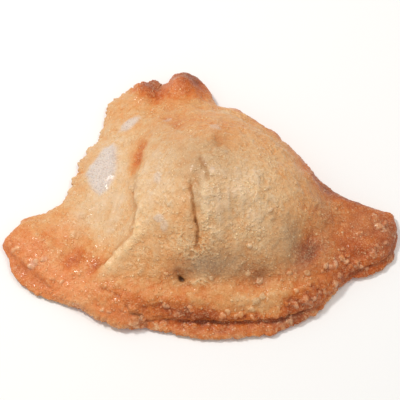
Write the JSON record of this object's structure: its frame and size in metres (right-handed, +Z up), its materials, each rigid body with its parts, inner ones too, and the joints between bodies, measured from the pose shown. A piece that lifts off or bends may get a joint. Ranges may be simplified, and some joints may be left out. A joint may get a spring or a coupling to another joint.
{
  "type": "samosa",
  "caption": "Deep-fried samosa: a plump folded dough parcel with two ears, a pinched tip and an open crimped seam, lying on its flat back.",
  "frame": {"origin": "on the table, under the middle of the parcel's bounding box", "axes": "+X from the left ear to the right ear, +Y from the open seam at the front to the pinched tip at the back, +Z up from the table"},
  "size_m": [0.1204, 0.0928, 0.0296],
  "materials": {
    "fried_dough": "satin"
  },
  "bodies": {
    "root": {"pastry": "fried_dough"}
  },
  "joints": []
}
